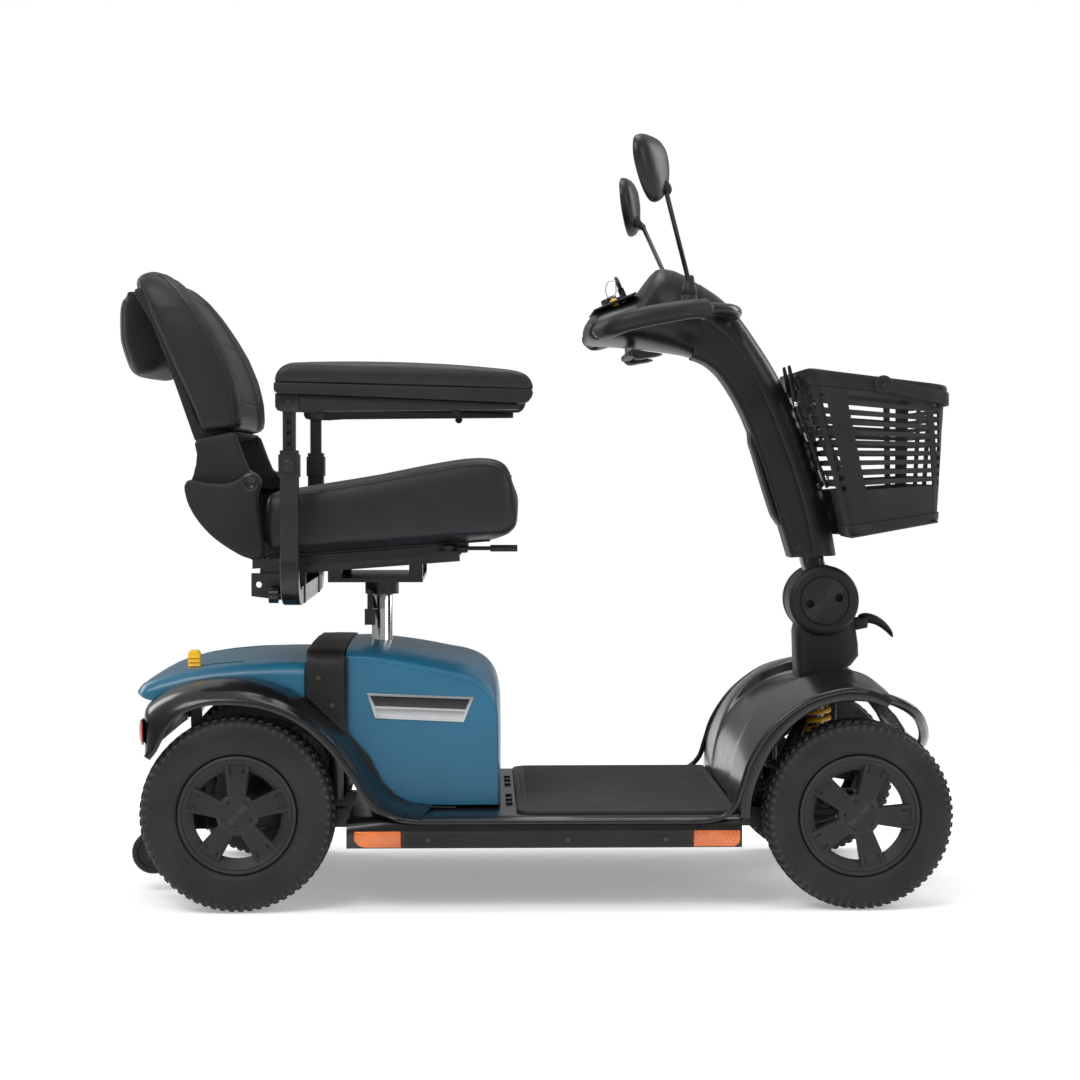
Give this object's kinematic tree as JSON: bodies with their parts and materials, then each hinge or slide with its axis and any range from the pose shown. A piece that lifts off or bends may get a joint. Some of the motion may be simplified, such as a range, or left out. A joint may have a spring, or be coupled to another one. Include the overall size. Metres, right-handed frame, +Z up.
{
  "type": "mobility scooter",
  "caption": "Four-wheel mobility scooter with swivel seat, folding backrest, flip-up armrests, tilting tiller, front basket, mirrors and battery shroud.",
  "frame": {"origin": "on the floor under the middle of the scooter's bounding box", "axes": "+X forward, +Y to the rider's left, +Z up"},
  "size_m": [1.238, 0.6026, 1.11],
  "materials": {
    "frame_black": "gloss black powder coat",
    "deck_plastic": "satin black",
    "mat_rubber": "ribbed dark grey rubber",
    "reflector_amber": "prismatic amber",
    "gloss_black": "gloss black",
    "body_blue": "satin teal blue",
    "matte_black": "fine textured black",
    "satin_black": "satin black",
    "plate_silver": "brushed",
    "lens_red": "red lens",
    "battery_grey": "moulded",
    "cast_grey": "cast",
    "zinc": "zinc plated",
    "tyre": "moulded rubber",
    "rim_plastic": "matte black",
    "small_wheel": "matte black",
    "lever_yellow": "yellow",
    "spring_yellow": "yellow powder coat",
    "grip_rubber": "soft black",
    "basket_plastic": "satin black",
    "chrome": "polished",
    "vinyl": "stitched charcoal vinyl"
  },
  "bodies": {
    "chassis": {"main_frame": "frame_black", "floor_deck": "deck_plastic", "deck_mat": "mat_rubber", "side_reflectors": "reflector_amber", "rear_fender": "gloss_black", "rear_cover": "body_blue", "battery_shroud": "body_blue", "shroud_band": "matte_black", "badge_plates": "plate_silver", "tail_lights": "lens_red", "front_fender": "gloss_black", "battery_packs": "battery_grey", "drive_unit": "cast_grey", "front_shocks": "frame_black", "body_screws": "zinc", "coil_springs": "spring_yellow"},
    "rear_wheel_r": {"rear_tyre_r": "tyre", "rear_rim_r": "rim_plastic"},
    "rear_wheel_l": {"rear_tyre_l": "tyre", "rear_rim_l": "rim_plastic"},
    "front_wheel_r": {"front_tyre_r": "tyre", "front_rim_r": "rim_plastic"},
    "front_wheel_l": {"front_tyre_l": "tyre", "front_rim_l": "rim_plastic"},
    "anti_tip_wheels": {"anti_tip_wheels": "small_wheel"},
    "freewheel_lever": {"freewheel_lever": "lever_yellow"},
    "front_axle": {"front_axle": "frame_black"},
    "knuckle_r": {"knuckle_r": "cast_grey"},
    "knuckle_l": {"knuckle_l": "cast_grey"},
    "tie_rod": {"tie_rod": "zinc"},
    "steering_stem": {"steering_stem": "matte_black"},
    "tilt_lever": {"tilt_lever": "matte_black"},
    "tiller": {"tiller_frame": "frame_black", "tiller_front_cover": "satin_black", "tiller_rear_cover": "satin_black", "console": "satin_black", "console_panel": "matte_black", "handlebar": "frame_black", "hand_grips": "grip_rubber"},
    "mirror_r": {"mirror_r": "satin_black"},
    "mirror_l": {"mirror_l": "satin_black"},
    "key": {"key": "zinc"},
    "speed_dial": {"speed_dial": "matte_black"},
    "horn_button": {"horn_button": "lever_yellow"},
    "throttle_lever": {"throttle_lever": "matte_black"},
    "basket": {"basket": "basket_plastic"},
    "basket_handle": {"basket_handle": "basket_plastic"},
    "seat_post": {"seat_post": "chrome"},
    "seat_base": {"seat_base": "frame_black"},
    "seat_frame": {"seat_frame": "frame_black", "seat_pan": "matte_black", "seat_cushion": "vinyl", "armrest_sleeves": "frame_black"},
    "slide_lever": {"slide_lever": "frame_black"},
    "backrest": {"backrest_shell": "matte_black", "backrest_cushion": "vinyl"},
    "armrest_post_r": {"armrest_post_r": "frame_black"},
    "armrest_post_l": {"armrest_post_l": "frame_black"},
    "armrest_r": {"armrest_r": "vinyl"},
    "armrest_l": {"armrest_l": "vinyl"}
  },
  "joints": [
    {"name": "rear_wheel_r_spin", "type": "hinge", "parent": "chassis", "child": "rear_wheel_r", "pos_m": [-0.422, -0.245, 0.14], "axis": [0, 1, 0], "continuous": true},
    {"name": "rear_wheel_l_spin", "type": "hinge", "parent": "chassis", "child": "rear_wheel_l", "pos_m": [-0.422, 0.245, 0.14], "axis": [0, 1, 0], "continuous": true},
    {"name": "anti_tip_spin", "type": "hinge", "parent": "chassis", "child": "anti_tip_wheels", "pos_m": [-0.564, -0.1, 0.06], "axis": [0, 1, 0], "continuous": true},
    {"name": "freewheel_lever_swing", "type": "hinge", "parent": "chassis", "child": "freewheel_lever", "pos_m": [-0.496, -0.15, 0.29], "axis": [0, 1, 0], "range_deg": [0, 35]},
    {"name": "front_suspension", "type": "hinge", "parent": "chassis", "child": "front_axle", "pos_m": [0.33, 0.07, 0.13], "axis": [0, -1, 0], "range_deg": [-2, 2], "stiffness_Nm_per_rad": 1800, "springref_deg": -2.01, "deforming": ["coil_springs"]},
    {"name": "wheel_steer_r", "type": "hinge", "parent": "front_axle", "child": "knuckle_r", "pos_m": [0.47, -0.19, 0.136], "axis": [0, 0, 1], "range_deg": [-28, 28]},
    {"name": "wheel_steer_l", "type": "hinge", "parent": "front_axle", "child": "knuckle_l", "pos_m": [0.47, 0.19, 0.136], "axis": [0, 0, 1], "range_deg": [-28, 28]},
    {"name": "tie_rod_slide", "type": "slide", "parent": "front_axle", "child": "tie_rod", "axis": [0, 1, 0], "range_m": [-0.035, 0.035]},
    {"name": "front_wheel_r_spin", "type": "hinge", "parent": "knuckle_r", "child": "front_wheel_r", "pos_m": [0.47, -0.245, 0.136], "axis": [0, 1, 0], "continuous": true},
    {"name": "front_wheel_l_spin", "type": "hinge", "parent": "knuckle_l", "child": "front_wheel_l", "pos_m": [0.47, 0.245, 0.136], "axis": [0, 1, 0], "continuous": true},
    {"name": "steering", "type": "hinge", "parent": "chassis", "child": "steering_stem", "pos_m": [0.455, 0, 0.25], "axis": [0, 0, 1], "range_deg": [-28, 28]},
    {"name": "tiller_tilt", "type": "hinge", "parent": "steering_stem", "child": "tiller", "pos_m": [0.452, 0, 0.432], "axis": [0, 1, 0], "range_deg": [0, 30]},
    {"name": "tilt_lever_lift", "type": "hinge", "parent": "steering_stem", "child": "tilt_lever", "pos_m": [0.518, 0, 0.398], "axis": [0, -1, 0], "range_deg": [0, 15]},
    {"name": "mirror_r_swing", "type": "hinge", "parent": "tiller", "child": "mirror_r", "pos_m": [0.236, -0.13, 0.885], "axis": [0, 0, 1], "range_deg": [-30, 30]},
    {"name": "mirror_l_swing", "type": "hinge", "parent": "tiller", "child": "mirror_l", "pos_m": [0.236, 0.13, 0.885], "axis": [0, 0, 1], "range_deg": [-30, 30]},
    {"name": "key_turn", "type": "hinge", "parent": "tiller", "child": "key", "pos_m": [0.14841, 0, 0.89181], "axis": [-0.3907, 0, 0.9205], "range_deg": [-90, 0]},
    {"name": "speed_dial_turn", "type": "hinge", "parent": "tiller", "child": "speed_dial", "pos_m": [0.13, 0.04, 0.884], "axis": [-0.3907, 0, 0.9205], "range_deg": [-135, 135]},
    {"name": "horn_press", "type": "slide", "parent": "tiller", "child": "horn_button", "axis": [0.3907, 0, -0.9205], "range_m": [0, 0.002]},
    {"name": "throttle", "type": "hinge", "parent": "tiller", "child": "throttle_lever", "pos_m": [0.155, 0, 0.82], "axis": [0, 0, 1], "range_deg": [-12, 12], "stiffness_Nm_per_rad": 0.5},
    {"name": "basket_lift", "type": "slide", "parent": "tiller", "child": "basket", "axis": [-0.342, 0, 0.9397], "range_m": [0, 0.06]},
    {"name": "basket_handle_swing", "type": "hinge", "parent": "basket", "child": "basket_handle", "pos_m": [0.518, 0, 0.758], "axis": [0, -1, 0], "range_deg": [0, 110]},
    {"name": "seat_height", "type": "slide", "parent": "chassis", "child": "seat_post", "axis": [0, 0, 1], "range_m": [0, 0.05]},
    {"name": "seat_swivel", "type": "hinge", "parent": "seat_post", "child": "seat_base", "pos_m": [-0.226, 0, 0.45], "axis": [0, 0, 1], "range_deg": [-90, 90]},
    {"name": "seat_slide", "type": "slide", "parent": "seat_base", "child": "seat_frame", "axis": [0.9972, 0, 0.0748], "range_m": [-0.05, 0.05]},
    {"name": "slide_lever_swing", "type": "hinge", "parent": "seat_frame", "child": "slide_lever", "pos_m": [-0.122, -0.166, 0.515], "axis": [0, 0, -1], "range_deg": [0, 15]},
    {"name": "backrest_fold", "type": "hinge", "parent": "seat_frame", "child": "backrest", "pos_m": [-0.405, 0, 0.614], "axis": [0, 1, 0], "range_deg": [0, 80]},
    {"name": "armrest_r_height", "type": "slide", "parent": "seat_frame", "child": "armrest_post_r", "axis": [0, 0, 1], "range_m": [0, 0.06]},
    {"name": "armrest_r_flip", "type": "hinge", "parent": "armrest_post_r", "child": "armrest_r", "pos_m": [-0.346, -0.2695, 0.728], "axis": [0, -1, 0], "range_deg": [0, 90]},
    {"name": "armrest_l_height", "type": "slide", "parent": "seat_frame", "child": "armrest_post_l", "axis": [0, 0, 1], "range_m": [0, 0.06]},
    {"name": "armrest_l_flip", "type": "hinge", "parent": "armrest_post_l", "child": "armrest_l", "pos_m": [-0.346, 0.2695, 0.728], "axis": [0, -1, 0], "range_deg": [0, 90]}
  ],
  "couplings": [
    {"joint": "wheel_steer_r", "follows": "steering", "ratio": 1},
    {"joint": "wheel_steer_l", "follows": "steering", "ratio": 1},
    {"joint": "tie_rod_slide", "follows": "steering", "m_per_rad": -0.0717}
  ]
}
